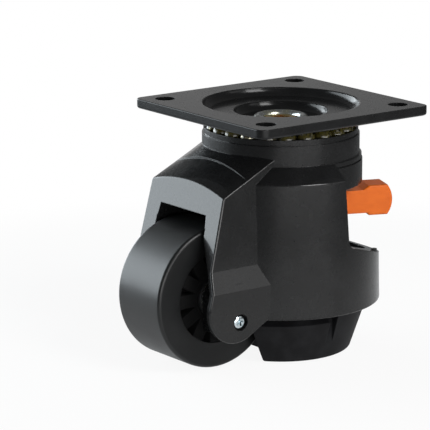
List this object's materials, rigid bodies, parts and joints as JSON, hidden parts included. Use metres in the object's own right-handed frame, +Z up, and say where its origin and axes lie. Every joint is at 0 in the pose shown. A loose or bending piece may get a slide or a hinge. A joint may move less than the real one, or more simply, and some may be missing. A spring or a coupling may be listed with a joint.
{
  "type": "levelling castor",
  "caption": "Plate-mounted swivel castor with a nylon wheel and a rubber levelling foot that a side ratchet lever screws down to take the load off the wheel.",
  "frame": {"origin": "centre of the four-hole mounting plate, on its mounting (upper) face and on the swivel axis", "axes": "+Z up through the mounting face along the swivel axis; the wheel is towards -Y, the lever window towards +Y, and the wheel axle is parallel to X"},
  "size_m": [0.073, 0.0992, 0.0865],
  "materials": {
    "black_steel": "satin black paint",
    "black_casting": "satin black paint on die-cast aluminium",
    "zinc_steel": "bright zinc plate",
    "yellow_zinc_steel": "yellow passivated zinc plate",
    "ball_steel": "polished steel with grease",
    "plain_steel": "plain",
    "black_nylon": "smooth matte",
    "bearing_plastic": "plain",
    "orange_plastic": "semi-gloss",
    "black_rubber": "matte"
  },
  "bodies": {
    "mounting": {"top_plate": "black_steel", "king_rivet": "zinc_steel", "lower_race": "zinc_steel"},
    "upper_ball_row": {"upper_balls": "ball_steel"},
    "lower_ball_row": {"lower_balls": "ball_steel"},
    "swivel": {"swivel_body": "black_casting", "axle": "zinc_steel", "left_wheel_washer": "zinc_steel", "right_wheel_washer": "zinc_steel", "axle_lock_screws": "zinc_steel", "upper_thrust_washer": "bearing_plastic", "retaining_plate": "zinc_steel", "retaining_screws": "zinc_steel"},
    "roller": {"wheel": "black_nylon", "left_wheel_bush": "bearing_plastic", "right_wheel_bush": "bearing_plastic"},
    "nut": {"ratchet_nut": "plain_steel"},
    "ratchet_lever": {"lever": "orange_plastic", "lever_cover": "orange_plastic", "cover_screws": "zinc_steel", "detent_plunger": "plain_steel", "detent_spring": "plain_steel"},
    "pawl_group": {"pawl": "plain_steel", "pawl_pin": "plain_steel", "selector": "black_nylon"},
    "foot": {"foot_spindle": "yellow_zinc_steel", "foot_plate": "zinc_steel", "foot_pad": "black_rubber"}
  },
  "joints": [
    {"name": "swivel_turn", "type": "hinge", "parent": "mounting", "child": "swivel", "pos_m": [0, 0, 0], "axis": [0, 0, 1], "continuous": true},
    {"name": "upper_balls_roll", "type": "hinge", "parent": "mounting", "child": "upper_ball_row", "pos_m": [0, 0, 0], "axis": [0, 0, 1], "continuous": true},
    {"name": "lower_balls_roll", "type": "hinge", "parent": "mounting", "child": "lower_ball_row", "pos_m": [0, 0, 0], "axis": [0, 0, 1], "continuous": true},
    {"name": "wheel_spin", "type": "hinge", "parent": "swivel", "child": "roller", "pos_m": [0, -0.0363, -0.0614], "axis": [1, 0, 0], "continuous": true},
    {"name": "nut_turn", "type": "hinge", "parent": "swivel", "child": "nut", "pos_m": [0, 0, 0], "axis": [0, 0, 1], "range_deg": [-285, 1620]},
    {"name": "foot_travel", "type": "slide", "parent": "swivel", "child": "foot", "axis": [0, 0, -1], "range_m": [-0.00158, 0.009]},
    {"name": "lever_swing", "type": "hinge", "parent": "swivel", "child": "ratchet_lever", "pos_m": [0, 0, 0], "axis": [0, 0, 1], "range_deg": [-45, 90]},
    {"name": "pawl_select", "type": "hinge", "parent": "ratchet_lever", "child": "pawl_group", "pos_m": [0.00656, 0.01665, 0], "axis": [0, 0, 1], "range_deg": [-12, 12]}
  ],
  "couplings": [
    {"joint": "upper_balls_roll", "follows": "swivel_turn", "ratio": 0.5},
    {"joint": "lower_balls_roll", "follows": "swivel_turn", "ratio": 0.5},
    {"joint": "nut_turn", "follows": "foot_travel", "rad_per_m": 3141.6}
  ]
}
